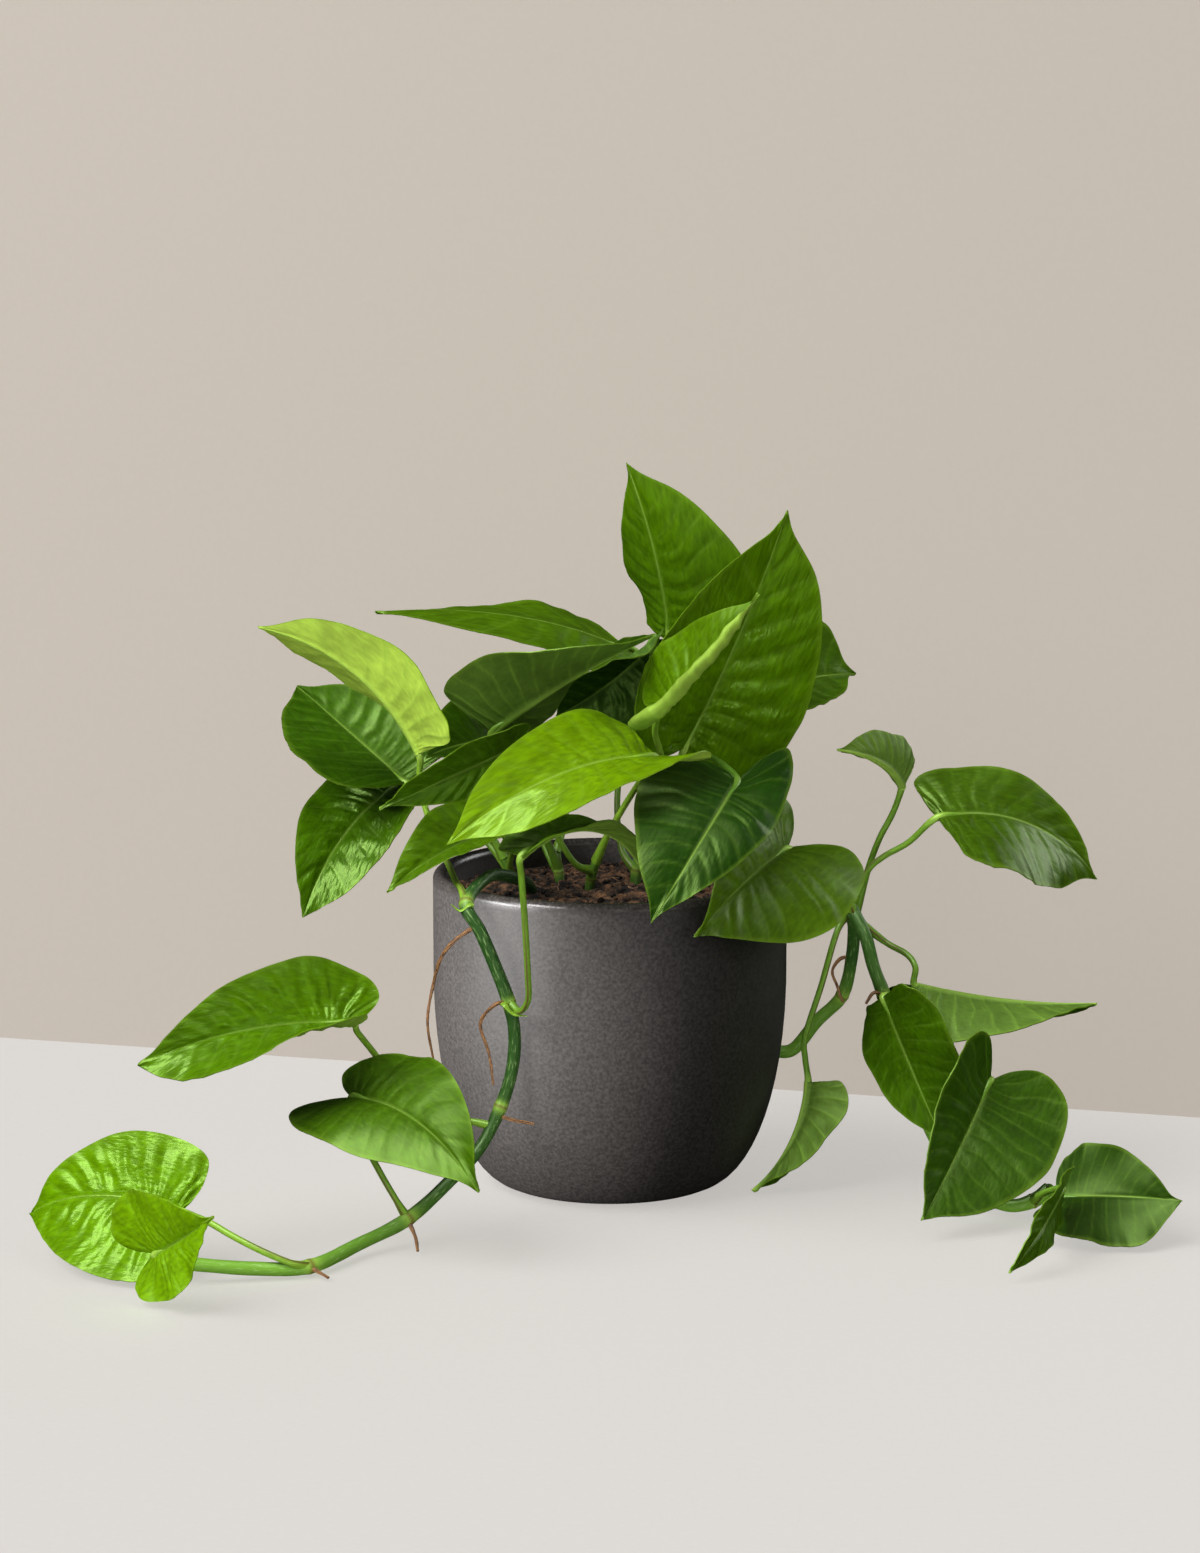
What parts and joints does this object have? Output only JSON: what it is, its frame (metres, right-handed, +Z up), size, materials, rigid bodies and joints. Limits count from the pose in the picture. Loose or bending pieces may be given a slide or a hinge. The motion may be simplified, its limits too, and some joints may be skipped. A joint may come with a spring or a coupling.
{
  "type": "potted jade pothos",
  "caption": "Trailing jade pothos with heart-shaped green leaves in a round charcoal stoneware pot, its vines over the rim and along the surface.",
  "frame": {"origin": "centre of the pot's foot, on the surface it stands on", "axes": "+Z up, +X to the right of the front view along the length of the trailing vines, -Y towards the front"},
  "size_m": [0.4024, 0.2732, 0.2643],
  "materials": {
    "pot": "matt speckled glaze",
    "soil": "loose damp peat potting mix",
    "stem": "waxy green stem",
    "leaf": "waxy satin leaf"
  },
  "bodies": {
    "root": {"pot": "pot", "soil": "soil", "left_vine": "stem", "right_vine": "stem", "back_shoot": "stem", "left_shoot": "stem", "centre_shoot": "stem", "front_shoot": "stem", "tall_leaf": "leaf", "great_leaf": "leaf", "shaded_leaf": "leaf", "young_leaf": "leaf", "long_leaf": "leaf", "rolled_leaf": "leaf", "dark_leaf": "leaf", "pale_leaf": "leaf", "left_leaf": "leaf", "glossy_leaf": "leaf", "hidden_leaf": "leaf", "mid_leaf": "leaf", "bright_leaf": "leaf", "low_leaf": "leaf", "rim_leaf": "leaf", "heart_leaf": "leaf", "right_leaf": "leaf", "small_right_leaf": "leaf", "upper_right_leaf": "leaf", "thin_leaf": "leaf", "tucked_leaf": "leaf", "broad_leaf": "leaf", "far_right_leaf": "leaf", "right_tip_leaf": "leaf", "hanging_leaf": "leaf", "upper_left_leaf": "leaf", "left_heart_leaf": "leaf", "round_leaf": "leaf", "cupped_leaf": "leaf"}
  },
  "joints": []
}
